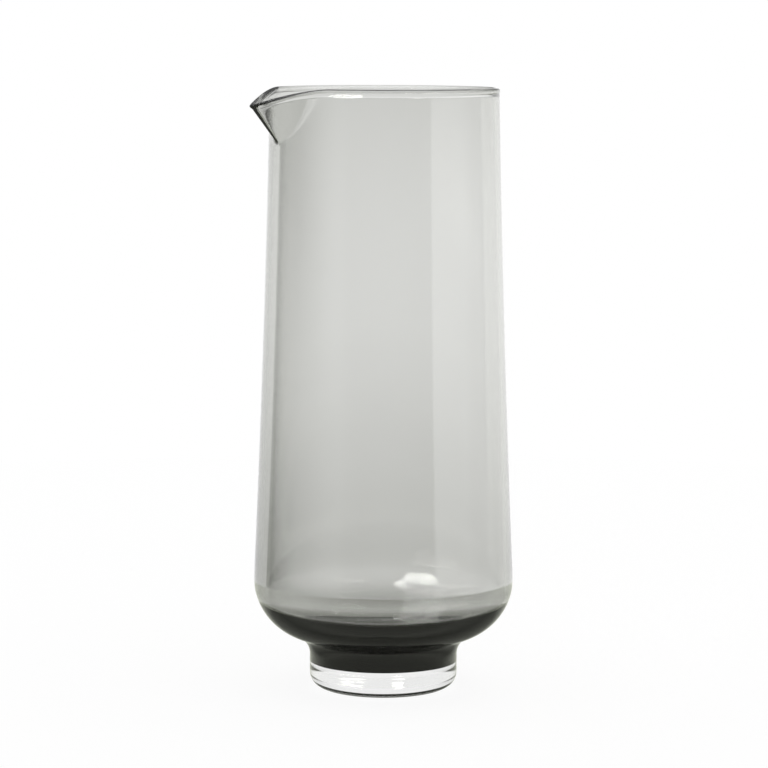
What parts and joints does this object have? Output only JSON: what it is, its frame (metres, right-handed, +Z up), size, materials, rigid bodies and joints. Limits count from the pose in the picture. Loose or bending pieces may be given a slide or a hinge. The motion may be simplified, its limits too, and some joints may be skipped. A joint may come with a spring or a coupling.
{
  "type": "carafe",
  "caption": "Tall, slightly tapered carafe of smoked glass with a pulled pouring lip, on a short solid smoked stem and a clear round foot.",
  "frame": {"origin": "middle of the foot's flat underside", "axes": "+Z up along the axis that the glass was turned about, -X towards the pouring lip"},
  "size_m": [0.1099, 0.1038, 0.2401],
  "materials": {
    "smoked_glass": "polished, smoked grey",
    "clear_glass": "polished, clear"
  },
  "bodies": {
    "root": {"bowl": "smoked_glass", "stem": "smoked_glass", "foot": "clear_glass"}
  },
  "joints": []
}
